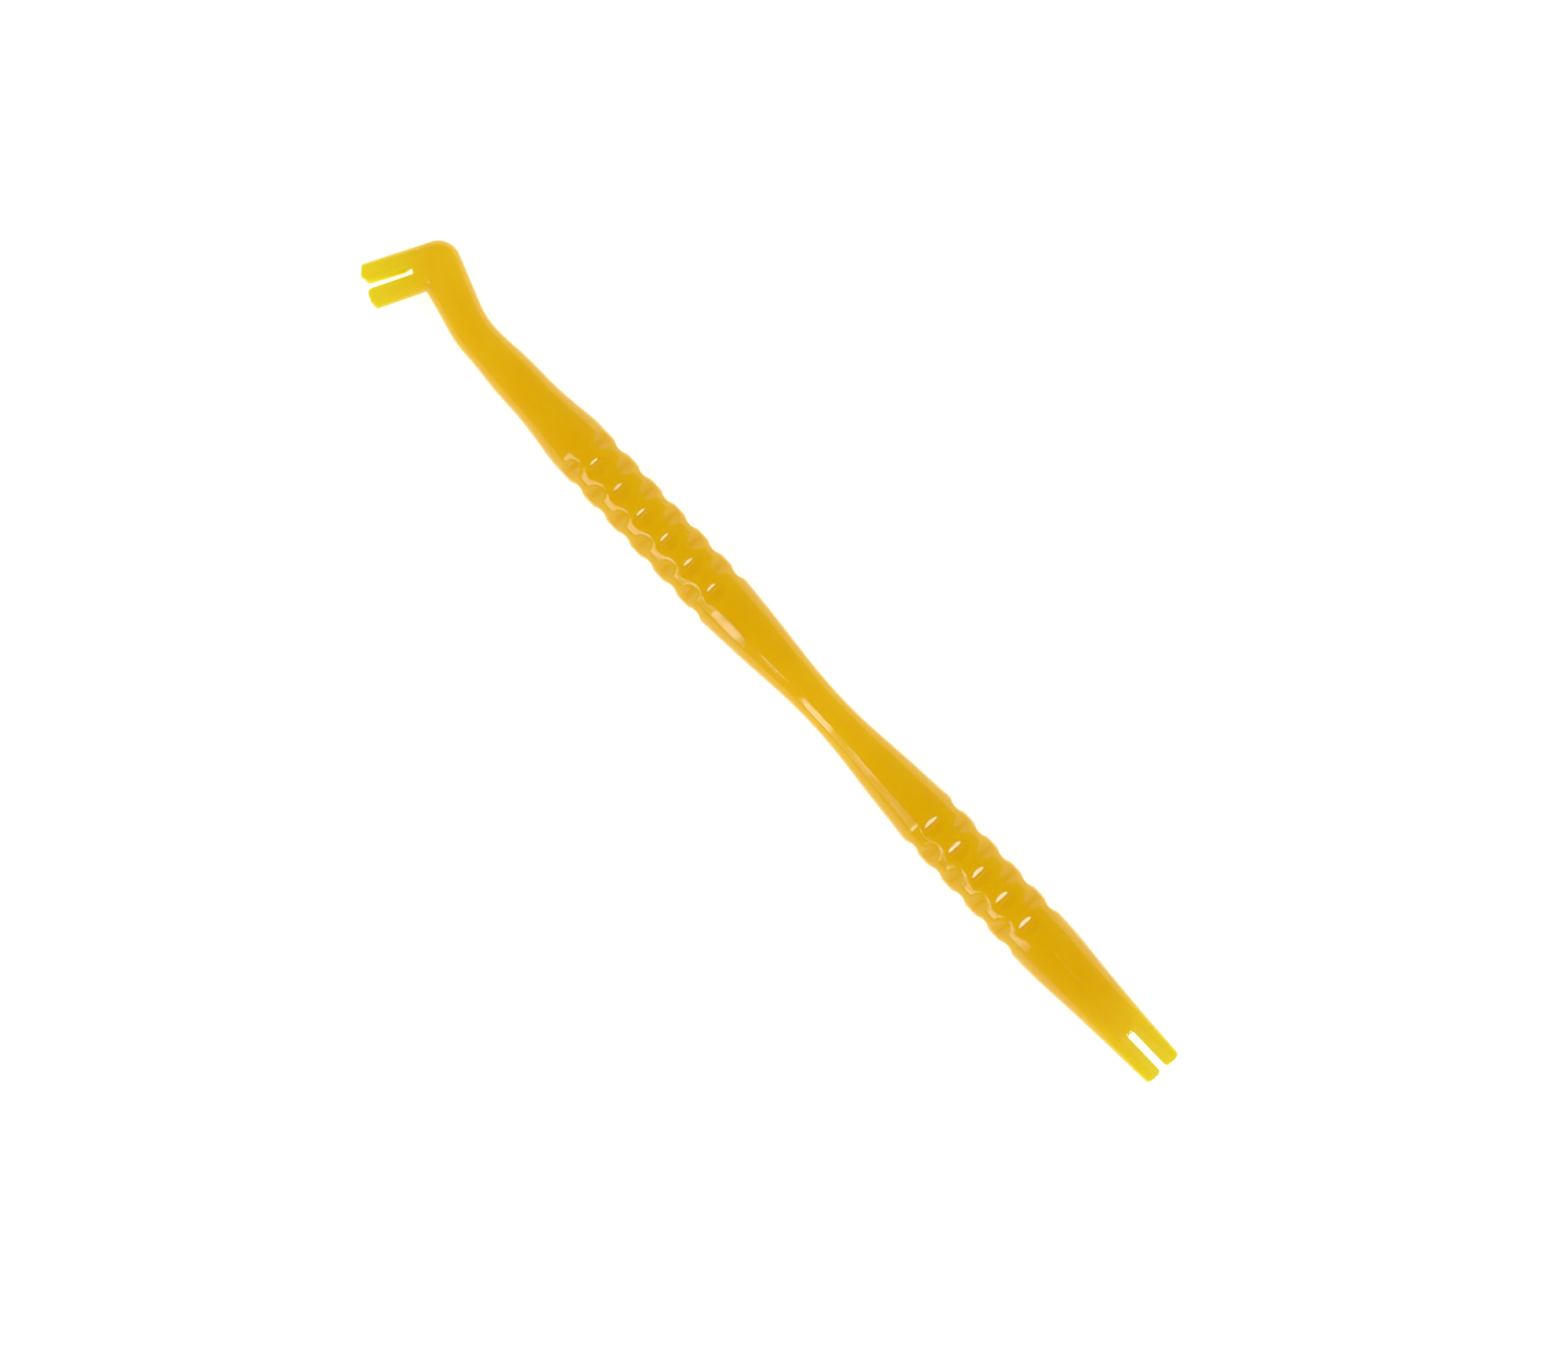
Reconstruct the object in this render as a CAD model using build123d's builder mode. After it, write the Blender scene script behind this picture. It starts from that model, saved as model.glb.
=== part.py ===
"""A double-ended forked hand tool: one small moulding, stored as the zones that it is made up of.

Frame: millimetres, +Z up, lying flat. The handle runs along X with its straight fork at +X, and the
angled fork turns towards -Y. The origin is under the middle of the tool's box, on the surface it
lies on. Neighbouring zones share their end sections exactly, so together they fill one solid.
"""

import os
from math import cos, radians, sin, tan

from build123d import *

# Handle: where its axis lies, and the places along X where one zone ends and the next begins
AXIS_Y = 0.55
ANGLED_GRIP_START_X = -31.66
WAIST_START_X = -8.06
WAIST_END_X = 24.34
STRAIGHT_GRIP_END_X = 42.34
STRAIGHT_TIP_X = 62.56

# Handle: radii, and the stations that carry its outline
ANGLED_GRIP_RADIUS = 3.38
STRAIGHT_GRIP_RADIUS = 3.48
NECK_RADIUS = 2.25
NECK_SHOULDER = [(-43.0, 2.55), (-38.4, 2.7), (-34.3, 3.12)]
WAIST_OUTLINE = [(-1.5, 2.88), (8.4, 2.22), (17.5, 2.88)]
SHANK_WIDTHS_AND_THICKNESSES = [(45.2, 6.82, 6.78), (49.2, 6.24, 6.0), (53.2, 5.66, 4.3)]

# Grip dimples: oval hollows as a round cutter leaves them when it passes straight across the
# grip, in staggered rows
DIMPLE_ROWS = 8
DIMPLE_CUTTER_RADIUS = 1.64
DIMPLE_DEPTH = 0.33
DIMPLE_PITCH = 3.765
ANGLED_GRIP_FIRST_DIMPLE_X = -28.32
ANGLED_GRIP_DIMPLES = 6
STRAIGHT_GRIP_FIRST_DIMPLE_X = 25.74
STRAIGHT_GRIP_DIMPLES = 5

# Gentle bend at the end of the neck, and the elbow that carries the angled fork
NECK_BEND_X = -49.06
NECK_BEND_RADIUS = 12.0
NECK_TURN = 17.5
ELBOW_DISTANCE = 8.2
ELBOW_TURN = 83.0
ELBOW_WIDTH = 5.12
ELBOW_THICKNESS = 3.9

# Fork blades
BLADE_ROOT_THICKNESS = 2.6
BLADE_TIP_THICKNESS = 1.6
ANGLED_BLADE_LENGTH = 8.38
ANGLED_BLADE_WIDTH = 5.16
STRAIGHT_BLADE_ROOT_WIDTH = 5.22
STRAIGHT_BLADE_TIP_WIDTH = 4.72
SLOT_LENGTH = 5.45
SLOT_WIDTH = 0.92
TIP_CORNER_RADIUS = 0.45

# Straight side left on every rounded section, so that they all have the same eight edges
LEAST_FLAT = 0.02

AXIS_Z = STRAIGHT_GRIP_RADIUS
HANDLE_AXIS = Axis((0, AXIS_Y, AXIS_Z), (1, 0, 0))
HANDLE_SIDE = Plane(origin=(0, AXIS_Y, AXIS_Z), x_dir=(1, 0, 0), z_dir=(0, -1, 0))


def on_axis(x):
    """Point of the handle's axis."""
    return Vector(x, AXIS_Y, AXIS_Z)


def ahead(origin, heading, distance):
    """Point at a distance from another one, along a heading in degrees."""
    turn = radians(heading)
    return origin + Vector(distance * cos(turn), distance * sin(turn), 0)


def across(origin, heading):
    """Plane across the tool: its normal follows the heading, and its own x points to the left."""
    turn = radians(heading)
    return Plane(
        origin=origin,
        x_dir=(-sin(turn), cos(turn), 0),
        z_dir=(cos(turn), sin(turn), 0),
    )


def section(plane, width, thickness):
    """Rounded section across the tool: a circle where width and thickness are equal."""
    with BuildSketch(plane) as outline:
        RectangleRounded(width, thickness, (min(width, thickness) - LEAST_FLAT) / 2)
    return outline.sketch


def cut_dimples(grip_radius, first_x, row_count, staggered_count, stagger):
    """Hollow the grip that is being built, every second row set off along it by half a pitch."""
    cutter_distance = grip_radius + DIMPLE_CUTTER_RADIUS - DIMPLE_DEPTH
    for row in range(DIMPLE_ROWS):
        turn = radians(row * 360 / DIMPLE_ROWS)
        staggered = row % 2
        row_x = first_x + staggered * stagger
        places = range(staggered_count if staggered else row_count)
        row_plane = Plane(
            origin=on_axis(0), x_dir=(1, 0, 0), z_dir=(0, -sin(turn), cos(turn))
        )
        with BuildSketch(row_plane) as cutters:
            with Locations(*[(row_x + place * DIMPLE_PITCH, -cutter_distance) for place in places]):
                Circle(DIMPLE_CUTTER_RADIUS)
        extrude(cutters.sketch, amount=grip_radius / 2, both=True, mode=Mode.SUBTRACT)


# Centre line of the neck and the angled fork, from the grip to the tip
limb_heading = 180 - NECK_TURN
blade_heading = limb_heading + ELBOW_TURN
bend_reach = NECK_BEND_RADIUS * tan(radians(NECK_TURN / 2))
bend_corner = on_axis(NECK_BEND_X)
bend_start = on_axis(NECK_BEND_X + bend_reach)
bend_centre = ahead(bend_start, 90, NECK_BEND_RADIUS)
limb_start = ahead(bend_corner, limb_heading, bend_reach)
elbow = ahead(bend_corner, limb_heading, ELBOW_DISTANCE)
angled_slot_start = ahead(elbow, blade_heading, ANGLED_BLADE_LENGTH - SLOT_LENGTH)
angled_tip = ahead(elbow, blade_heading, ANGLED_BLADE_LENGTH)

# Sections that a fork's root shares with its tines
angled_root_section = section(
    across(angled_slot_start, blade_heading), ANGLED_BLADE_WIDTH, BLADE_ROOT_THICKNESS
)
straight_slot_start = on_axis(STRAIGHT_TIP_X - SLOT_LENGTH)
straight_root_section = section(
    across(straight_slot_start, 0), STRAIGHT_BLADE_ROOT_WIDTH, BLADE_ROOT_THICKNESS
)

# Neck: flares into the grip at one end, and bends gently at the other
with BuildPart() as neck:
    with BuildSketch(HANDLE_SIDE):
        with BuildLine():
            flare = Spline(
                (bend_start.X, NECK_RADIUS),
                *NECK_SHOULDER,
                (ANGLED_GRIP_START_X, ANGLED_GRIP_RADIUS),
                tangents=((1, 0), (1, 0)),
            )
            Polyline(flare @ 1, (ANGLED_GRIP_START_X, 0), (bend_start.X, 0), flare @ 0)
        make_face()
    revolve(axis=HANDLE_AXIS)
    with BuildSketch(across(bend_start, 180)):
        Circle(NECK_RADIUS)
    revolve(axis=Axis(bend_centre, (0, 0, -1)), revolution_arc=NECK_TURN)

# Elbow: a limb that flattens as it leaves the neck crosses the blade's root at a sharp inner
# corner, and the outer half of the limb's end section turns about the corner between them
with BuildPart() as angled_fork_elbow:
    loft(
        [
            section(across(limb_start, limb_heading), 2 * NECK_RADIUS, 2 * NECK_RADIUS),
            section(across(elbow, limb_heading), ELBOW_WIDTH, ELBOW_THICKNESS),
        ],
        ruled=True,
    )
    with BuildSketch(across(elbow, limb_heading)):
        RectangleRounded(ELBOW_WIDTH, ELBOW_THICKNESS, (ELBOW_THICKNESS - LEAST_FLAT) / 2)
        with Locations((ELBOW_WIDTH / 2, 0)):
            Rectangle(ELBOW_WIDTH, ELBOW_THICKNESS, mode=Mode.SUBTRACT)
    revolve(axis=Axis(elbow, (0, 0, 1)), revolution_arc=ELBOW_TURN)
    loft(
        [
            section(across(elbow, blade_heading), ELBOW_WIDTH, ELBOW_THICKNESS),
            angled_root_section,
        ],
        ruled=True,
    )

# Grip next to the angled fork
with BuildPart() as angled_end_grip:
    with BuildSketch(across(on_axis(ANGLED_GRIP_START_X), 0)):
        Circle(ANGLED_GRIP_RADIUS)
    extrude(amount=WAIST_START_X - ANGLED_GRIP_START_X)
    cut_dimples(
        ANGLED_GRIP_RADIUS,
        ANGLED_GRIP_FIRST_DIMPLE_X,
        ANGLED_GRIP_DIMPLES,
        ANGLED_GRIP_DIMPLES,
        -DIMPLE_PITCH / 2,
    )

# Waist between the grips
with BuildPart() as waist:
    with BuildSketch(HANDLE_SIDE):
        with BuildLine():
            hourglass = Spline(
                (WAIST_START_X, ANGLED_GRIP_RADIUS),
                *WAIST_OUTLINE,
                (WAIST_END_X, STRAIGHT_GRIP_RADIUS),
            )
            Polyline(hourglass @ 1, (WAIST_END_X, 0), (WAIST_START_X, 0), hourglass @ 0)
        make_face()
    revolve(axis=HANDLE_AXIS)

# Grip next to the straight fork
with BuildPart() as straight_end_grip:
    with BuildSketch(across(on_axis(WAIST_END_X), 0)):
        Circle(STRAIGHT_GRIP_RADIUS)
    extrude(amount=STRAIGHT_GRIP_END_X - WAIST_END_X)
    cut_dimples(
        STRAIGHT_GRIP_RADIUS,
        STRAIGHT_GRIP_FIRST_DIMPLE_X,
        STRAIGHT_GRIP_DIMPLES,
        STRAIGHT_GRIP_DIMPLES - 1,
        DIMPLE_PITCH / 2,
    )

# Shank: flattens from the round grip into the straight fork's blade, as far as its slot
with BuildPart() as straight_fork_root:
    loft(
        [
            section(
                across(on_axis(STRAIGHT_GRIP_END_X), 0),
                2 * STRAIGHT_GRIP_RADIUS,
                2 * STRAIGHT_GRIP_RADIUS,
            ),
            *[
                section(across(on_axis(x), 0), width, thickness)
                for x, width, thickness in SHANK_WIDTHS_AND_THICKNESSES
            ],
            straight_root_section,
        ]
    )


def tine(root_section, slot_start, heading, tip_width, side):
    """One tine of a fork, on the left (side 1) or the right (side -1) of its slot."""
    tip = ahead(slot_start, heading, SLOT_LENGTH)
    forward = Vector(cos(radians(heading)), sin(radians(heading)), 0)
    flat = Plane(origin=tip, x_dir=forward, z_dir=(0, 0, 1))
    with BuildPart() as blade:
        loft(
            [root_section, section(across(tip, heading), tip_width, BLADE_TIP_THICKNESS)],
            ruled=True,
        )
        with BuildSketch(flat):
            with Locations((0, side * (SLOT_WIDTH / 2 - tip_width))):
                Rectangle(3 * SLOT_LENGTH, 2 * tip_width)
        extrude(amount=BLADE_ROOT_THICKNESS, both=True, mode=Mode.SUBTRACT)
        tip_face = blade.faces().sort_by(Axis(tip, forward))[-1]
        fillet(tip_face.edges().filter_by(Axis.Z), TIP_CORNER_RADIUS)
    return blade.part


tines = {
    "angled_fork_inner_tine": tine(
        angled_root_section, angled_slot_start, blade_heading, ANGLED_BLADE_WIDTH, 1
    ),
    "angled_fork_outer_tine": tine(
        angled_root_section, angled_slot_start, blade_heading, ANGLED_BLADE_WIDTH, -1
    ),
    "straight_fork_left_tine": tine(
        straight_root_section, straight_slot_start, 0, STRAIGHT_BLADE_TIP_WIDTH, 1
    ),
    "straight_fork_right_tine": tine(
        straight_root_section, straight_slot_start, 0, STRAIGHT_BLADE_TIP_WIDTH, -1
    ),
}

zones = {
    "neck": neck.part,
    "angled_fork_elbow": angled_fork_elbow.part,
    "angled_end_grip": angled_end_grip.part,
    "waist": waist.part,
    "straight_end_grip": straight_end_grip.part,
    "straight_fork_root": straight_fork_root.part,
    **tines,
}

os.makedirs("parts", exist_ok=True)
for name, zone in zones.items():
    zone.label = name
    export_step(zone, f"parts/{name}.step")
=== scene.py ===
"""Looks of a double-ended forked hand tool: one seamless amber moulding, its floor, light and camera.

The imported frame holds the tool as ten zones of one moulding. Here they are one mesh, built as rings
of points that follow the tool's centre line from the straight fork's tip to the angled fork's tip.
Lengths are millimetres in the frame's own axes, and become metres when a mesh is made.
"""

from math import cos, degrees, pi, radians, sin, tan

import bmesh
import bpy
import numpy as np
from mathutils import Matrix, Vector, kdtree


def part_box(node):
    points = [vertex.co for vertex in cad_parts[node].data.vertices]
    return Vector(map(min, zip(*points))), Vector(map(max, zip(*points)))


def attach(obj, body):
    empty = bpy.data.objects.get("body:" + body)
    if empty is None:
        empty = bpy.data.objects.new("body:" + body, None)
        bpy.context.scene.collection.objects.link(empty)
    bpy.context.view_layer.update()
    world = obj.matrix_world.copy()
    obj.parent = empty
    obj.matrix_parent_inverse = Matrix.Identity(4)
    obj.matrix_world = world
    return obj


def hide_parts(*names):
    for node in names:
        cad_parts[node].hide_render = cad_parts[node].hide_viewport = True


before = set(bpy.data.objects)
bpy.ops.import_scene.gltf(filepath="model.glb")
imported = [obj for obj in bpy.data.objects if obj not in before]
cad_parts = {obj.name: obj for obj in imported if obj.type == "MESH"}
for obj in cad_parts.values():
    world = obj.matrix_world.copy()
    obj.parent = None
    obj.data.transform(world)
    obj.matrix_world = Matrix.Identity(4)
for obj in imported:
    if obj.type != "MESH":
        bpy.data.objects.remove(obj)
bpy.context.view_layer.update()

MM = 0.001
UP = np.array((0.0, 0.0, 1.0))


def zone(node):
    """Lowest and highest corner of one of the frame's zones, in millimetres."""
    low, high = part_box(node)
    return np.array(low) / MM, np.array(high) / MM


# Handle: where its zones begin and end along X, and its axis
angled_grip_low, angled_grip_high = zone("angled_end_grip")
straight_grip_low, straight_grip_high = zone("straight_end_grip")
ANGLED_GRIP_RADIUS = (angled_grip_high[2] - angled_grip_low[2]) / 2
STRAIGHT_GRIP_RADIUS = (straight_grip_high[2] - straight_grip_low[2]) / 2
AXIS_Y, AXIS_Z = (straight_grip_low[1:] + straight_grip_high[1:]) / 2
ANGLED_GRIP_START_X = angled_grip_low[0]
WAIST_START_X = angled_grip_high[0]
WAIST_END_X = straight_grip_low[0]
STRAIGHT_GRIP_END_X = straight_grip_high[0]
STRAIGHT_SLOT_START_X, STRAIGHT_TIP_X = (end[0] for end in zone("straight_fork_left_tine"))

# Handle: the stations that carry its outline, as (x, radius) or (x, width, thickness)
NECK_RADIUS = 2.25
NECK_SHOULDER = [(-43.0, 2.55), (-38.4, 2.7), (-34.3, 3.12)]
WAIST_OUTLINE = [
    (-6.6, 3.26),
    (-3.2, 3.01),
    (0.3, 2.69),
    (3.7, 2.39),
    (8.3, 2.22),
    (12.4, 2.38),
    (15.0, 2.61),
    (18.4, 2.95),
    (22.7, 3.31),
]
SHANK = [(45.2, 6.82, 6.78), (49.2, 6.24, 6.0), (53.2, 5.66, 4.3)]

# Grip dimples: oval hollows as a round cutter leaves them when it passes straight across the grip
DIMPLE_ROWS = 8
DIMPLE_CUTTER_RADIUS = 1.64
DIMPLE_DEPTH = 0.33
DIMPLE_PITCH = 3.765
DIMPLE_RIM_SOFTNESS = 0.07
DIMPLE_LEAST_FACING = 0.3
ANGLED_GRIP_FIRST_DIMPLE_X = -28.32
STRAIGHT_GRIP_FIRST_DIMPLE_X = 25.74

# Gentle bend in the neck, and the elbow that carries the angled fork
NECK_BEND_X = -49.06
NECK_BEND_RADIUS = 12.0
NECK_TURN = 17.5
ELBOW_DISTANCE = 8.2
ELBOW_TURN = 83.0
ELBOW_WIDTH = 5.12
ELBOW_THICKNESS = 3.8

# Fork blades
BLADE_ROOT_THICKNESS = 2.6
BLADE_TIP_THICKNESS = 1.6
STRAIGHT_BLADE_ROOT_WIDTH = 5.22
STRAIGHT_BLADE_TIP_WIDTH = 4.72
ANGLED_BLADE_LENGTH = 8.38
ANGLED_BLADE_WIDTH = 5.24
ANGLED_TAPER_POWER = 1.45
TIP_CORNER_RADIUS = 0.46
TIP_EDGE_RADIUS = 0.22

# Ragged end of the angled fork's outer tine, and worn corners of both, as (left, forward)
TIP_FLASH = [
    (-2.5, -0.2),
    (-1.8, -0.04),
    (-1.45, 0.12),
    (-1.25, 0.25),
    (-1.08, 0.08),
    (-0.5, -0.04),
    (-0.4, 0.0),
    (1.7, 0.0),
    (2.5, -0.25),
]

# The straight fork bends aside by this much at its tip, and its slot turns by that many degrees
FORK_DRIFT = 0.13
FORK_DRIFT_TURN = 0.6

# Slots, with soft corners and edges
SLOT_LENGTH = 5.45
STRAIGHT_SLOT_WIDTH = 0.84
ANGLED_SLOT_WIDTH = 0.75
SLOT_END_CORNER = 0.18
SLOT_EDGE_BEVEL = 0.05
ANGLED_SLOT_ASIDE = -0.095
SLOT_LEAN_START = 0.9

# How far a slot's cutter runs past the mouth, and above and below the blade
CUTTER_OVERRUN = 1.0
CUTTER_CLEARANCE = 0.2

# Where a face counts as a slot's wall: beside the slot's middle, behind its closed end, how upright
SLOT_WALL_REACH = 0.6
SLOT_WALL_BEHIND = -0.1
SLOT_WALL_UPRIGHT = 0.5

# Plastic: colours for the longest and the shortest way through it, where the thin one is partly a
# painted glow of light shining through, and a brighter yellow painted on the slots' walls as light
# shining in on them
THINNESS = "thinness"
SLOT_WALL = "slot_wall"
THICK_AMBER = (0.885, 0.53, 0.002, 1)
# Paler yellow for thin parts: partly the plastic's own tint, partly painted glow of light shining
# through them
THIN_AMBER_AND_PAINTED_GLOW = (1.0, 0.76, 0.025, 1)
# Slot walls' brighter yellow is painted light, as if lit by light shining in through the slots
SLOT_WALL_PAINTED_LIGHT = (1.0, 0.84, 0.01, 1)
POLISHED_ROUGHNESS = 0.04
RUBBED_ROUGHNESS = 0.08
SLOT_ROUGHNESS = 0.65
GLOSS = 0.28
RELIEF_STRENGTH = 0.6
RELIEF_DEPTH = 0.02
SCATTER_SHARE = 0.8
SCATTER_COLOUR = (1.0, 0.55, 0.06)
SCATTER_REACH = 2.5

# Fineness of the mesh
AROUND = 128
GRIP_STEP = 0.13
PLAIN_STEP = 0.4
BLADE_STEP = 0.3
ELBOW_STEPS = 22
SLOT_ARC_POINTS = 7
TIP_ROUNDING_STEPS = (0.0, 0.03, 0.07, 0.13, 0.2, 0.28, 0.38, 0.5)
PAST_TIP_ROUNDING = 0.7
MERGE_DISTANCE = 0.0001
SHARP_EDGE_ANGLE = 50

section_angles = np.arange(AROUND) * 2 * pi / AROUND
section_cos = np.cos(section_angles)
section_sin = np.sin(section_angles)


def smooth_through(points, start_slope=None, end_slope=None):
    """Cubic spline through (place, value) points, as a function. An end with no slope runs out free."""
    places, values = np.array(points, float).T
    gaps = np.diff(places)
    rises = np.diff(values) / gaps
    count = len(places)
    matrix = np.zeros((count, count))
    target = np.zeros(count)
    for i in range(1, count - 1):
        matrix[i, i - 1 : i + 2] = gaps[i], 2 * (gaps[i - 1] + gaps[i]), gaps[i - 1]
        target[i] = 3 * (gaps[i] * rises[i - 1] + gaps[i - 1] * rises[i])
    for end, beside, slope, rise in ((0, 1, start_slope, rises[0]), (-1, -2, end_slope, rises[-1])):
        if slope is None:
            matrix[end, end], matrix[end, beside], target[end] = 2, 1, 3 * rise
        else:
            matrix[end, end], target[end] = 1, slope
    slopes = np.linalg.solve(matrix, target)

    def curve(place):
        i = np.clip(np.searchsorted(places, place) - 1, 0, count - 2)
        t = (place - places[i]) / gaps[i]
        return (
            values[i] * (1 + 2 * t) * (1 - t) ** 2
            + values[i + 1] * t**2 * (3 - 2 * t)
            + gaps[i] * t * (1 - t) * (slopes[i] * (1 - t) - slopes[i + 1] * t)
        )

    return curve


def rounded_section(width, thickness):
    """Offsets to the left and up of sections with fully rounded edges: circles where both are equal."""
    flat = np.maximum(width - thickness, 0)[..., None] / 2
    edge = thickness[..., None] / 2
    on_flat = np.abs(section_cos) * edge < flat * np.abs(section_sin)
    to_flat = edge / np.maximum(np.abs(section_sin), 1e-6)
    to_edge = flat * np.abs(section_cos) + np.sqrt(edge**2 - (flat * section_sin) ** 2 * ~on_flat)
    reach = np.where(on_flat, to_flat, to_edge)
    return reach * section_cos, reach * section_sin


def rounded_off(distance, radius):
    """How far a corner of that radius has drawn a side in, at a distance from the corner's end."""
    rest = np.clip(radius - distance, 0, radius)
    return radius - np.sqrt(radius**2 - rest**2)


def placed(origins, headings, left, up):
    """Rings of points in the frame: one origin and one heading in degrees for each ring."""
    turn = np.radians(headings)[:, None]
    sideways = np.stack([-np.sin(turn), np.cos(turn), np.zeros_like(turn)], axis=-1)
    return origins[:, None, :] + left[..., None] * sideways + up[..., None] * UP


def steps(start, end, step):
    """Even places from start to end, without the end."""
    return np.linspace(start, end, max(2, round(abs(end - start) / step)), endpoint=False)


def ahead(origin, heading, distance):
    """Point at a distance from another one, along a heading in degrees."""
    turn = radians(heading)
    return origin + distance * np.array((cos(turn), sin(turn), 0.0))


def on_axis(x):
    """Point of the handle's axis."""
    return np.array((x, AXIS_Y, AXIS_Z))


# Centre line of the neck and the angled fork
limb_heading = 180 - NECK_TURN
blade_heading = limb_heading + ELBOW_TURN
bend_reach = NECK_BEND_RADIUS * tan(radians(NECK_TURN / 2))
bend_start = on_axis(NECK_BEND_X + bend_reach)
bend_centre = ahead(bend_start, 90, NECK_BEND_RADIUS)
limb_start = ahead(on_axis(NECK_BEND_X), limb_heading, bend_reach)
elbow = ahead(on_axis(NECK_BEND_X), limb_heading, ELBOW_DISTANCE)
limb_length = ELBOW_DISTANCE - bend_reach


def fork_drift(x):
    """How far the straight fork's centre line lies beside the handle's axis."""
    share = (x - STRAIGHT_GRIP_END_X) / (STRAIGHT_TIP_X - STRAIGHT_GRIP_END_X)
    return FORK_DRIFT * np.clip(share, 0, 1) ** 2


SLOTS = {
    "straight_slot": dict(
        start=on_axis(STRAIGHT_SLOT_START_X) + np.array((0, fork_drift(STRAIGHT_SLOT_START_X), 0)),
        heading=FORK_DRIFT_TURN,
        width=STRAIGHT_SLOT_WIDTH,
        corners=(0.5, 0.5),
        right_lean=0.0,
    ),
    "angled_slot": dict(
        start=ahead(
            ahead(elbow, blade_heading, ANGLED_BLADE_LENGTH - SLOT_LENGTH),
            blade_heading + 90,
            ANGLED_SLOT_ASIDE,
        ),
        heading=blade_heading,
        width=ANGLED_SLOT_WIDTH,
        corners=(0.6, 0.76),
        right_lean=0.22,
    ),
}


def rings_along_handle(x, width, thickness):
    """Rings of the handle or the straight fork, which face the angled fork."""
    left, up = rounded_section(width, thickness)
    origins = np.stack([x, AXIS_Y + fork_drift(x), np.full_like(x, AXIS_Z)], axis=-1)
    return placed(origins, np.full_like(x, 180.0), left, up)


def straight_fork_rings():
    """The straight blade from its tip to the end of its slot, before the slot is cut."""
    plain = steps(PAST_TIP_ROUNDING, SLOT_LENGTH, BLADE_STEP)
    from_tip = np.concatenate([TIP_ROUNDING_STEPS, plain])
    share = from_tip / SLOT_LENGTH
    width = STRAIGHT_BLADE_TIP_WIDTH + (STRAIGHT_BLADE_ROOT_WIDTH - STRAIGHT_BLADE_TIP_WIDTH) * share
    thickness = BLADE_TIP_THICKNESS + (BLADE_ROOT_THICKNESS - BLADE_TIP_THICKNESS) * share
    return rings_along_handle(
        STRAIGHT_TIP_X - from_tip,
        width - 2 * rounded_off(from_tip, TIP_CORNER_RADIUS),
        thickness - 2 * rounded_off(from_tip, TIP_EDGE_RADIUS),
    )


def shank_rings():
    """The shank, which grows from the straight blade into the grip."""
    root = (STRAIGHT_SLOT_START_X, STRAIGHT_BLADE_ROOT_WIDTH, BLADE_ROOT_THICKNESS)
    grip = (STRAIGHT_GRIP_END_X, 2 * STRAIGHT_GRIP_RADIUS, 2 * STRAIGHT_GRIP_RADIUS)
    stations = np.array([grip, *SHANK, root])
    width_slope = (STRAIGHT_BLADE_TIP_WIDTH - STRAIGHT_BLADE_ROOT_WIDTH) / SLOT_LENGTH
    thickness_slope = (BLADE_TIP_THICKNESS - BLADE_ROOT_THICKNESS) / SLOT_LENGTH
    x = steps(STRAIGHT_SLOT_START_X, STRAIGHT_GRIP_END_X, PLAIN_STEP)
    return rings_along_handle(
        x,
        smooth_through(stations[:, [0, 1]], 0, width_slope)(x),
        smooth_through(stations[:, [0, 2]], 0, thickness_slope)(x),
    )


def dimpled(rings, radius, row_places, staggered_places):
    """Rings of a round grip with its dimples pressed in. Every second row has the staggered places."""
    offset = rings - on_axis(0)
    angles = np.arctan2(offset[..., 1], offset[..., 2])
    reach = np.full(angles.shape, radius)
    for row in range(DIMPLE_ROWS):
        places = np.asarray(staggered_places if row % 2 else row_places)
        past = np.abs(rings[..., 0, None] - places).min(axis=-1)
        lift = np.sqrt(DIMPLE_CUTTER_RADIUS**2 - np.minimum(past, DIMPLE_CUTTER_RADIUS) ** 2)
        floor = radius + DIMPLE_CUTTER_RADIUS - DIMPLE_DEPTH - lift
        facing = np.maximum(np.cos(angles - row * 2 * pi / DIMPLE_ROWS), DIMPLE_LEAST_FACING)
        cutter = floor / facing
        reach = (reach + cutter - np.sqrt((reach - cutter) ** 2 + DIMPLE_RIM_SOFTNESS**2)) / 2
    shaped = rings.copy()
    shaped[..., 1:] = on_axis(0)[1:] + offset[..., 1:] * (reach / radius)[..., None]
    return shaped


def dimple_places(first_x, count, shift=0.0):
    """Places along X of one row of dimples."""
    return first_x + shift + DIMPLE_PITCH * np.arange(count)


def straight_grip_rings():
    """The dimpled grip next to the straight fork."""
    x = steps(STRAIGHT_GRIP_END_X, WAIST_END_X, GRIP_STEP)
    diameter = np.full_like(x, 2 * STRAIGHT_GRIP_RADIUS)
    return dimpled(
        rings_along_handle(x, diameter, diameter),
        STRAIGHT_GRIP_RADIUS,
        dimple_places(STRAIGHT_GRIP_FIRST_DIMPLE_X, 5),
        dimple_places(STRAIGHT_GRIP_FIRST_DIMPLE_X, 4, DIMPLE_PITCH / 2),
    )


def waist_rings():
    """The narrow waist between the grips."""
    outline = smooth_through(
        [(WAIST_START_X, ANGLED_GRIP_RADIUS), *WAIST_OUTLINE, (WAIST_END_X, STRAIGHT_GRIP_RADIUS)]
    )
    x = steps(WAIST_END_X, WAIST_START_X, PLAIN_STEP)
    return rings_along_handle(x, 2 * outline(x), 2 * outline(x))


def angled_grip_rings():
    """The dimpled grip next to the angled fork."""
    x = steps(WAIST_START_X, ANGLED_GRIP_START_X, GRIP_STEP)
    diameter = np.full_like(x, 2 * ANGLED_GRIP_RADIUS)
    return dimpled(
        rings_along_handle(x, diameter, diameter),
        ANGLED_GRIP_RADIUS,
        dimple_places(ANGLED_GRIP_FIRST_DIMPLE_X, 6),
        dimple_places(ANGLED_GRIP_FIRST_DIMPLE_X, 6, -DIMPLE_PITCH / 2),
    )


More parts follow.
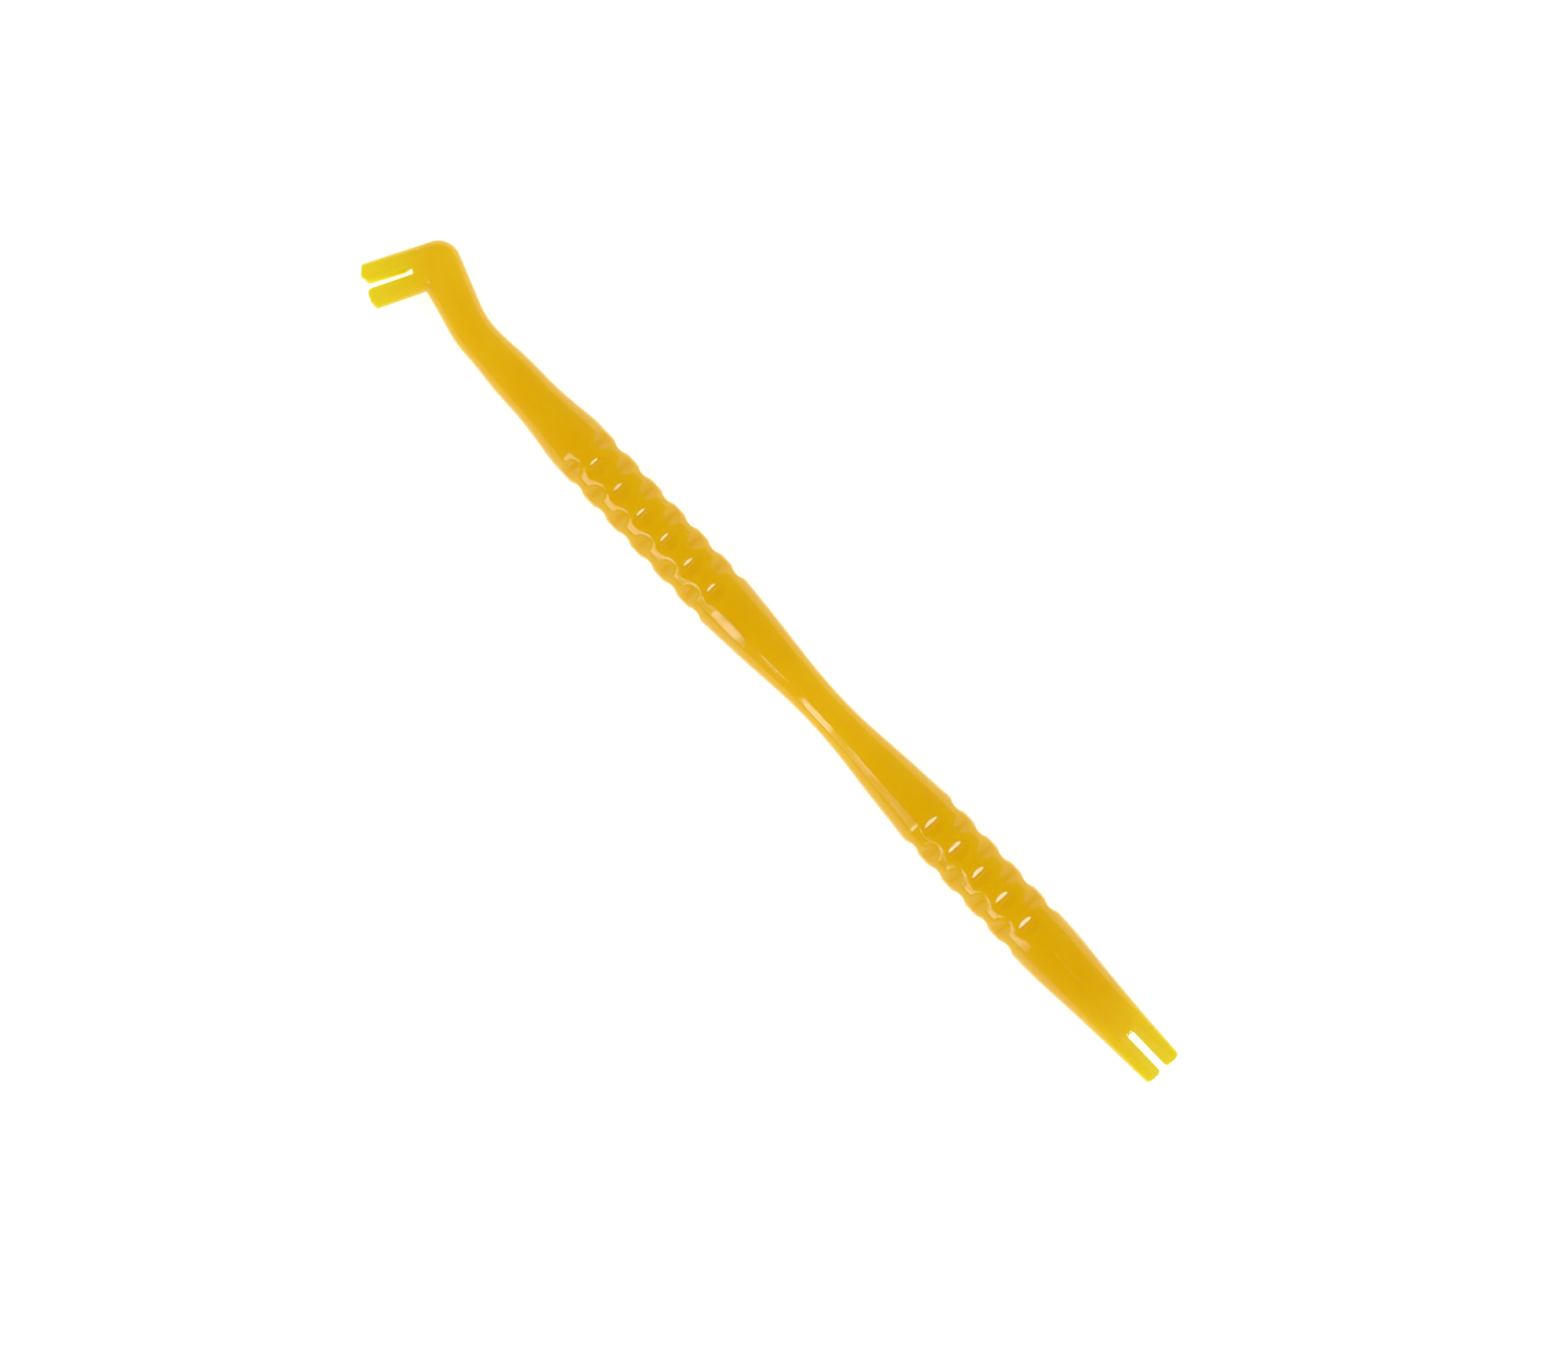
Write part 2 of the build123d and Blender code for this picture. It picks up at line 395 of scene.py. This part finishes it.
def neck_rings():
    """The neck, from the grip to the end of its gentle bend."""
    outline = smooth_through(
        [
            (bend_start[0], NECK_RADIUS),
            *NECK_SHOULDER,
            (ANGLED_GRIP_START_X, ANGLED_GRIP_RADIUS),
        ],
        0,
        0,
    )
    x = steps(ANGLED_GRIP_START_X, bend_start[0], PLAIN_STEP)
    flare = rings_along_handle(x, 2 * outline(x), 2 * outline(x))

    turned = steps(0, NECK_TURN, degrees(PLAIN_STEP / NECK_BEND_RADIUS))
    origins = np.array([ahead(bend_centre, -90 - turn, NECK_BEND_RADIUS) for turn in turned])
    diameter = np.full_like(turned, 2 * NECK_RADIUS)
    left, up = rounded_section(diameter, diameter)
    return np.concatenate([flare, placed(origins, 180 - turned, left, up)])


def limb_section(from_elbow):
    """Sections of the limb between neck and elbow, at distances before the elbow."""
    share = 1 - from_elbow / limb_length
    eased = share * share * (3 - 2 * share)
    return rounded_section(
        2 * NECK_RADIUS + (ELBOW_WIDTH - 2 * NECK_RADIUS) * share,
        2 * NECK_RADIUS + (ELBOW_THICKNESS - 2 * NECK_RADIUS) * eased,
    )


def angled_blade_section(from_elbow):
    """Sections of the angled blade, at distances past the elbow, before the slot is cut."""
    to_tip = ANGLED_BLADE_LENGTH - from_elbow
    taper = (to_tip / ANGLED_BLADE_LENGTH) ** ANGLED_TAPER_POWER
    width = ELBOW_WIDTH + (ANGLED_BLADE_WIDTH - ELBOW_WIDTH) * from_elbow / ANGLED_BLADE_LENGTH
    thickness = BLADE_TIP_THICKNESS + (ELBOW_THICKNESS - BLADE_TIP_THICKNESS) * taper
    return rounded_section(
        width - 2 * rounded_off(to_tip, TIP_CORNER_RADIUS),
        thickness - 2 * rounded_off(to_tip, TIP_EDGE_RADIUS),
    )


def angled_end_rings():
    """Limb, elbow and angled blade. Both arms end on a mitre plane at the inside of the elbow, and
    the section turns about the elbow's own centre on the outside."""
    slant = tan(radians(ELBOW_TURN / 2))
    elbow_left, elbow_up = limb_section(np.zeros(1))
    inside = np.maximum(elbow_left[0], 0)
    mitre = inside * slant
    mitre_up = (limb_section_up_at(mitre) + blade_section_up_at(mitre)) / 2

    limb_share = steps(0, 1, PLAIN_STEP / limb_length)[:, None]
    from_elbow = limb_length - limb_share * (limb_length - mitre)
    left, up = section_lines(limb_section, from_elbow)
    end_left, end_up = section_lines(limb_section, mitre[None, :])
    left = left + limb_share**2 * (elbow_left - end_left)
    up = up + limb_share**2 * (mitre_up - end_up)
    limb = arm_points(limb_heading, -from_elbow, left, up)

    turned = np.linspace(0, ELBOW_TURN, ELBOW_STEPS)
    outside = np.minimum(elbow_left, 0)
    sweep = placed(
        np.repeat(elbow[None, :], ELBOW_STEPS, axis=0),
        limb_heading + turned,
        np.repeat(outside, ELBOW_STEPS, axis=0),
        np.repeat(mitre_up[None, :], ELBOW_STEPS, axis=0),
    )
    corner = arm_points(limb_heading, -mitre[None, :], elbow_left, mitre_up[None, :])
    sweep = np.where((elbow_left[0] > 0)[None, :, None], corner, sweep)

    rounding_start = ANGLED_BLADE_LENGTH - TIP_ROUNDING_STEPS[-1]
    blade_share = np.append(steps(0, 1, BLADE_STEP / rounding_start), 1.0)[1:, None]
    past_elbow = mitre + blade_share * (rounding_start - mitre)
    left, up = section_lines(angled_blade_section, past_elbow)
    start_left, start_up = section_lines(angled_blade_section, mitre[None, :])
    left = left + (1 - blade_share) ** 2 * (elbow_left - start_left)
    up = up + (1 - blade_share) ** 2 * (mitre_up - start_up)
    blade = arm_points(blade_heading, past_elbow, left, up)

    to_tip = np.array(TIP_ROUNDING_STEPS[-2::-1])
    tip_left, tip_up = angled_blade_section(ANGLED_BLADE_LENGTH - to_tip)
    fading = 1 - to_tip[:, None] / TIP_ROUNDING_STEPS[-1]
    flash = np.interp(tip_left, *zip(*TIP_FLASH)) * fading
    tip_reach = ANGLED_BLADE_LENGTH - to_tip[:, None] + flash
    tip = arm_points(blade_heading, tip_reach, tip_left, tip_up)
    return np.concatenate([limb, sweep, blade, tip])


def section_lines(section, distances):
    """Offsets of each lengthwise line of an arm, where every line has its own distance."""
    rows, columns = distances.shape
    left, up = section(distances.reshape(-1))
    own = np.arange(columns)
    return (
        left.reshape(rows, columns, AROUND)[:, own, own],
        up.reshape(rows, columns, AROUND)[:, own, own],
    )


def limb_section_up_at(distances):
    """Heights at which the limb's lengthwise lines reach their own distances."""
    return section_lines(limb_section, distances[None, :])[1][0]


def blade_section_up_at(distances):
    """Heights at which the blade's lengthwise lines reach their own distances."""
    return section_lines(angled_blade_section, distances[None, :])[1][0]


def arm_points(heading, distances, left, up):
    """Points of an arm of the elbow, at distances from the elbow's centre along its heading."""
    turn = radians(heading)
    forward = np.array((cos(turn), sin(turn), 0.0))
    sideways = np.array((-sin(turn), cos(turn), 0.0))
    return (
        elbow + distances[..., None] * forward + left[..., None] * sideways + up[..., None] * UP
    )


def tool_rings():
    """Sections of the whole tool, from the straight fork's tip to the angled fork's tip."""
    return np.concatenate(
        [
            straight_fork_rings(),
            shank_rings(),
            straight_grip_rings(),
            waist_rings(),
            angled_grip_rings(),
            neck_rings(),
            angled_end_rings(),
        ]
    )


def closed_mesh(name, points, faces):
    """Mesh of points in millimetres, with doubled points merged and every face turned outward."""
    mesh = bpy.data.meshes.new(name)
    mesh.from_pydata((points * MM).tolist(), [], faces)
    shape = bmesh.new()
    shape.from_mesh(mesh)
    bmesh.ops.remove_doubles(shape, verts=shape.verts, dist=MERGE_DISTANCE * MM)
    bmesh.ops.recalc_face_normals(shape, faces=shape.faces)
    shape.to_mesh(mesh)
    shape.free()
    return mesh


def tool_mesh(rings):
    """The whole tool as one closed mesh, before its slots are cut."""
    count = len(rings)
    faces = []
    for ring in range(count - 1):
        here, there = ring * AROUND, (ring + 1) * AROUND
        for i in range(AROUND):
            j = (i + 1) % AROUND
            faces.append((here + i, here + j, there + j, there + i))
    for start in (0, (count - 1) * AROUND):
        for i in range(AROUND // 2):
            opposite = (AROUND - i) % AROUND
            corners = (i, i + 1, AROUND - i - 1, opposite)
            faces.append(tuple(start + corner for corner in dict.fromkeys(corners)))
    return closed_mesh("forked_tool", rings.reshape(-1, 3), faces)


def slot_outline(grow, width, corners):
    """Plan outline of a slot, forward from its closed end, with all its sides moved out by grow.
    The corners are the radii of its left and right mouth."""
    arc = np.radians(np.linspace(0, 90, SLOT_ARC_POINTS))
    radius = SLOT_END_CORNER + grow
    wall = width / 2 + grow
    points = []
    for side, corner in zip((1, -1), corners):
        lip = corner - grow
        mouth_side = width / 2 + corner
        half = [(SLOT_LENGTH + CUTTER_OVERRUN, mouth_side)]
        half += [
            (SLOT_LENGTH - corner + lip * cos(turn), mouth_side - lip * sin(turn)) for turn in arc
        ]
        half.append((SLOT_LEAN_START, wall))
        half += [
            (radius - grow - radius * sin(turn), wall - radius + radius * cos(turn))
            for turn in arc
        ]
        ordered = half if side > 0 else half[::-1]
        points += [(forward, side * left) for forward, left in ordered]
    return points


def slot_cutter(name, start, heading, width, corners, right_lean):
    """Solid that cuts a slot out of a blade, and bevels the slot's upper and lower edges. The right
    wall leans outward toward the top, by that much for each millimetre of height."""
    turn = radians(heading)
    thickness_drop = (BLADE_ROOT_THICKNESS - BLADE_TIP_THICKNESS) / 2 / SLOT_LENGTH
    lifts = (CUTTER_CLEARANCE, -SLOT_EDGE_BEVEL)
    levels = [(-1, lifts[0]), (-1, lifts[1]), (1, lifts[1]), (1, lifts[0])]
    points = []
    for side, lift in levels:
        for forward, left in slot_outline(lift + SLOT_EDGE_BEVEL, width, corners):
            face = BLADE_ROOT_THICKNESS / 2 - thickness_drop * forward
            if left < 0:
                share = min(max(forward / SLOT_LEAN_START, 0), 1)
                left -= share * right_lean * side * (face + lift)
            points.append(
                start
                + forward * np.array((cos(turn), sin(turn), 0.0))
                + left * np.array((-sin(turn), cos(turn), 0.0))
                + side * (face + lift) * UP
            )
    count = len(points) // len(levels)
    faces = [tuple(range(count)), tuple(range(3 * count, 4 * count))]
    for level in range(3):
        for i in range(count):
            j = (i + 1) % count
            low, high = level * count, (level + 1) * count
            faces.append((low + i, low + j, high + j, high + i))
    return new_object(name, closed_mesh(name, np.array(points), faces))


def new_object(name, data):
    """Object of that data, linked to the scene."""
    made = bpy.data.objects.new(name, data)
    bpy.context.scene.collection.objects.link(made)
    return made


def cut(piece, cutter):
    """Take the cutter's solid out of the piece, and throw the cutter away."""
    modifier = piece.modifiers.new("cut", "BOOLEAN")
    modifier.operation = "DIFFERENCE"
    modifier.solver = "EXACT"
    modifier.object = cutter
    solved = piece.evaluated_get(bpy.context.evaluated_depsgraph_get())
    shape = bpy.data.meshes.new_from_object(solved)
    piece.modifiers.clear()
    piece.data = shape
    bpy.data.objects.remove(cutter)


def amber_plastic():
    """Glossy translucent amber plastic, deep amber where it is thick and yellow where it is thin, that
    yellow partly a painted glow of light shining through. Slot walls get a brighter yellow of painted
    light.
    """
    material = bpy.data.materials.new("amber_plastic")
    material.use_nodes = True
    nodes, links = material.node_tree.nodes, material.node_tree.links
    shader = nodes["Principled BSDF"]
    place = nodes.new("ShaderNodeTexCoord").outputs["Object"]

    def attribute(name):
        node = nodes.new("ShaderNodeAttribute")
        node.attribute_name = name
        return node.outputs["Fac"]

    def noise(stretch, detail, seed):
        """Noise whose grains are that many per metre along X, Y and Z."""
        spread = nodes.new("ShaderNodeMapping")
        spread.inputs["Scale"].default_value = stretch
        spread.inputs["Location"].default_value = (seed, seed, seed)
        links.new(place, spread.inputs["Vector"])
        node = nodes.new("ShaderNodeTexNoise")
        node.inputs["Scale"].default_value = 1.0
        node.inputs["Detail"].default_value = detail
        links.new(spread.outputs["Vector"], node.inputs["Vector"])
        return node.outputs["Fac"]

    def remapped(value, low, high, to_low, to_high):
        node = nodes.new("ShaderNodeMapRange")
        for socket, setting in zip(node.inputs[1:5], (low, high, to_low, to_high)):
            socket.default_value = setting
        links.new(value, node.inputs["Value"])
        return node.outputs["Result"]

    def mixed(share, first, second):
        node = nodes.new("ShaderNodeMix")
        node.data_type = "RGBA"
        links.new(share, node.inputs["Factor"])
        for name, colour in (("A", first), ("B", second)):
            if isinstance(colour, tuple):
                node.inputs[name].default_value = colour
            else:
                links.new(colour, node.inputs[name])
        return node.outputs["Result"]

    def combined(operation, first, second):
        node = nodes.new("ShaderNodeMath")
        node.operation = operation
        for socket, value in zip(node.inputs, (first, second)):
            if isinstance(value, float):
                socket.default_value = value
            else:
                links.new(value, socket)
        return node.outputs["Value"]

    # Colour: slow clouds and fine grain shift it along the way from thick to thin, and the thin end's
    # paler yellow is partly painted glow of light shining through
    clouds = remapped(noise((240, 330, 330), 3, 0.0), 0.3, 0.7, -0.06, 0.06)
    grain = remapped(noise((2600, 2600, 2600), 2, 5.0), 0.3, 0.7, -0.025, 0.025)
    depth = combined("ADD", attribute(THINNESS), combined("ADD", clouds, grain))
    # Thin parts painted paler yellow: partly real tint, partly painted glow of light shining through
    body = mixed(depth, THICK_AMBER, THIN_AMBER_AND_PAINTED_GLOW)
    # Slot walls painted a brighter yellow: painted light shining in on them through the slots
    links.new(mixed(attribute(SLOT_WALL), body, SLOT_WALL_PAINTED_LIGHT), shader.inputs["Base Color"])

    # Gloss: patches rubbed dull, and matt slot walls
    wear = remapped(noise((420, 900, 900), 4, 11.0), 0.45, 0.7, POLISHED_ROUGHNESS, RUBBED_ROUGHNESS)
    dull = remapped(attribute(SLOT_WALL), 0, 1, 0, SLOT_ROUGHNESS)
    links.new(combined("MAXIMUM", wear, dull), shader.inputs["Roughness"])

    # Relief: a low wave, fine ripples, and thin scratches along the handle
    waves = noise((320, 260, 260), 2, 17.0)
    ripples = combined("MULTIPLY", noise((2600, 1300, 1300), 1, 29.0), 0.35)
    scratches = remapped(noise((110, 5200, 5200), 2, 23.0), 0.66, 0.72, 0.0, -0.5)
    relief = nodes.new("ShaderNodeBump")
    relief.inputs["Strength"].default_value = RELIEF_STRENGTH
    relief.inputs["Distance"].default_value = RELIEF_DEPTH * MM
    height = combined("ADD", combined("ADD", waves, ripples), scratches)
    links.new(height, relief.inputs["Height"])
    links.new(relief.outputs["Normal"], shader.inputs["Normal"])

    shader.inputs["Specular IOR Level"].default_value = GLOSS
    shader.inputs["Subsurface Weight"].default_value = SCATTER_SHARE
    shader.inputs["Subsurface Radius"].default_value = SCATTER_COLOUR
    shader.inputs["Subsurface Scale"].default_value = SCATTER_REACH * MM
    return material


def white_floor():
    """Pale seamless floor, bright enough to show no shadow around the tool, and greyer further off."""
    material = bpy.data.materials.new("white_floor")
    material.use_nodes = True
    nodes, links = material.node_tree.nodes, material.node_tree.links
    shader = nodes["Principled BSDF"]
    shader.inputs["Base Color"].default_value = FLOOR_COLOUR
    shader.inputs["Roughness"].default_value = FLOOR_ROUGHNESS
    shader.inputs["Emission Color"].default_value = (1, 1, 1, 1)
    place = nodes.new("ShaderNodeTexCoord")
    away = nodes.new("ShaderNodeVectorMath")
    away.operation = "LENGTH"
    fade = nodes.new("ShaderNodeMapRange")
    for socket, setting in zip(fade.inputs[1:5], (*FLOOR_FADE, FLOOR_GLOW, FAR_FLOOR_GLOW)):
        socket.default_value = setting
    links.new(place.outputs["Object"], away.inputs[0])
    links.new(away.outputs["Value"], fade.inputs["Value"])
    links.new(fade.outputs["Result"], shader.inputs["Emission Strength"])
    return material


def mark_thinness(mesh, rings):
    """Store at every point how thin the tool is there: 0 in the thickest section, 1 in the thinnest."""
    sections = kdtree.KDTree(len(rings))
    for i, centre in enumerate(rings.mean(axis=1)):
        sections.insert(centre, i)
    sections.balance()
    thickness = np.ptp(rings[..., 2], axis=1)
    span = thickness.max() - BLADE_TIP_THICKNESS
    thinness = np.clip((thickness.max() - thickness) / span, 0, 1) ** 2
    marks = [thinness[sections.find(vertex.co / MM)[1]] for vertex in mesh.vertices]
    mesh.attributes.new(THINNESS, "FLOAT", "POINT").data.foreach_set("value", marks)


def mark_slot_walls(mesh):
    """Store on every face whether it is an upright wall inside one of the slots."""
    centres = np.array([face.center for face in mesh.polygons]) / MM
    upright = np.abs([face.normal[2] for face in mesh.polygons]) < SLOT_WALL_UPRIGHT
    walls = np.zeros(len(centres), bool)
    for slot in SLOTS.values():
        offset = centres - slot["start"]
        forward = offset @ ahead(np.zeros(3), slot["heading"], 1.0)
        aside = offset @ ahead(np.zeros(3), slot["heading"] + 90, 1.0)
        walls |= upright & (forward > SLOT_WALL_BEHIND) & (np.abs(aside) < SLOT_WALL_REACH)
    mesh.attributes.new(SLOT_WALL, "FLOAT", "FACE").data.foreach_set("value", walls.astype(float))


def build_tool():
    """The finished tool, with both slots cut."""
    rings = tool_rings()
    tool = new_object("forked_tool", tool_mesh(rings))
    for name, slot in SLOTS.items():
        cut(tool, slot_cutter(name, **slot))
    tool.data.shade_smooth()
    tool.data.set_sharp_from_angle(angle=radians(SHARP_EDGE_ANGLE))
    mark_thinness(tool.data, rings)
    mark_slot_walls(tool.data)
    tool.data.materials.clear()
    tool.data.materials.append(amber_plastic())
    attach(tool, "root")
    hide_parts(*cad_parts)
    return tool


# Stage: floor in metres, its glow near the tool and far off, and the studio's light by height
FLOOR_SIZE = 3.0
FLOOR_GLOW = 0.7
FAR_FLOOR_GLOW = 0.0
FLOOR_FADE = (0.13, 0.4)
FLOOR_COLOUR = (0.6, 0.6, 0.6, 1)
FLOOR_ROUGHNESS = 0.9
SKY_GLOW = {0.0: 0.22, 0.3: 0.18, 0.95: 0.02}

# Camera, looking straight down
CAMERA_LENS = 156.25
CAMERA_X = 2.05
CAMERA_HEIGHT = 753.5
CAMERA_TURN = 46.871
SENSOR_WIDTH = 36.0
NEAREST_VIEW = 0.01

# Lights: a point to aim at on the handle, then distance (mm), direction and apparent size (degrees)
SIDE = dict(distance=226, azimuth=-90, elevation=28, height=39)
FAR_OFF = dict(aim_x=0, distance=600)
SOFTBOXES = {
    "side_strip": dict(
        aim_x=10.2,
        distance=229,
        azimuth=-90,
        elevation=25.7,
        width=6.3,
        height=40.7,
        radiance=9.7,
        lean=19.9,
    ),
    "side_gap": dict(aim_x=-10.2, width=3.9, radiance=1.2, **SIDE),
    "left_grip_panel": dict(aim_x=-31, width=6.1, radiance=5.8, **SIDE),
    "right_grip_panel": dict(aim_x=46.8, width=3.6, radiance=6.2, **SIDE),
    "end_strip": dict(
        azimuth=4, elevation=39.5, width=24, height=15, radiance=17.0, **FAR_OFF
    ),
    "ceiling_tube": dict(
        azimuth=0, elevation=72, width=4, height=14, radiance=0.65, **FAR_OFF
    ),
}
FILLS = {
    "overhead": dict(
        azimuth=0, elevation=90, width=138, height=138, radiance=0.715, **FAR_OFF
    ),
    "near_fill": dict(
        azimuth=-90, elevation=20, width=90, height=36, radiance=0.45, **FAR_OFF
    ),
    "far_fill": dict(
        azimuth=90, elevation=20, width=90, height=36, radiance=0.3, **FAR_OFF
    ),
}


def build_floor():
    """Plain pale floor under the tool."""
    mesh = bpy.data.meshes.new("floor")
    half = FLOOR_SIZE / 2
    mesh.from_pydata(
        [(-half, -half, 0), (half, -half, 0), (half, half, 0), (-half, half, 0)], [], [(0, 1, 2, 3)]
    )
    floor = new_object("floor", mesh)
    mesh.materials.append(white_floor())


def build_surroundings():
    """Studio around the tool, dark overhead. SKY_GLOW gives its light at heights of its dome."""
    world = bpy.data.worlds.new("studio")
    bpy.context.scene.world = world
    world.use_nodes = True
    nodes, links = world.node_tree.nodes, world.node_tree.links
    place = nodes.new("ShaderNodeTexCoord")
    split = nodes.new("ShaderNodeSeparateXYZ")
    ramp = nodes.new("ShaderNodeValToRGB")
    links.new(place.outputs["Generated"], split.inputs[0])
    links.new(split.outputs["Z"], ramp.inputs["Fac"])
    links.new(ramp.outputs["Color"], nodes["Background"].inputs["Color"])
    stops = ramp.color_ramp.elements
    stops.new(0.5)
    for stop, (height, glow) in zip(stops, SKY_GLOW.items()):
        stop.position = height
        stop.color = (glow, glow, glow, 1)


def direction(azimuth, elevation):
    """Unit vector of a direction given in degrees."""
    turn, lift = radians(azimuth), radians(elevation)
    return Vector((cos(turn) * cos(lift), sin(turn) * cos(lift), sin(lift)))


def build_softbox(name, aim_x, distance, azimuth, elevation, width, height, radiance, lean=0.0):
    """Rectangular light that faces a point of the handle, or leans over it by some degrees."""
    light = bpy.data.lights.new(name, "AREA")
    light.shape = "RECTANGLE"
    light.size = 2 * distance * MM * tan(radians(width / 2))
    light.size_y = 2 * distance * MM * tan(radians(height / 2))
    light.energy = radiance * pi * light.size * light.size_y
    box = new_object(name, light)
    aim = Vector((aim_x, AXIS_Y, AXIS_Z))
    box.location = (aim + distance * direction(azimuth, elevation)) * MM
    facing = direction(azimuth, elevation + lean)
    box.rotation_euler = facing.to_track_quat("Z", "Y").to_euler()
    box.visible_camera = False
    return box


def build_light():
    """Softboxes that only the gloss shows, and wide fill lights that only the body colour shows."""
    build_surroundings()
    for name, placing in SOFTBOXES.items():
        build_softbox(name, **placing).visible_diffuse = False
    for name, placing in FILLS.items():
        build_softbox(name, **placing).visible_glossy = False


def build_camera():
    """Camera straight above the tool, turned so that the handle runs down to the right."""
    lens = bpy.data.cameras.new("camera")
    lens.sensor_width = SENSOR_WIDTH
    lens.lens = CAMERA_LENS
    lens.clip_start = NEAREST_VIEW
    camera = new_object("camera", lens)
    camera.location = (CAMERA_X * MM, 0.0, CAMERA_HEIGHT * MM)
    camera.rotation_euler = (0, 0, radians(CAMERA_TURN))
    bpy.context.scene.camera = camera


build_camera()
build_floor()
build_light()
build_tool()
bpy.context.scene.view_settings.view_transform = "Standard"
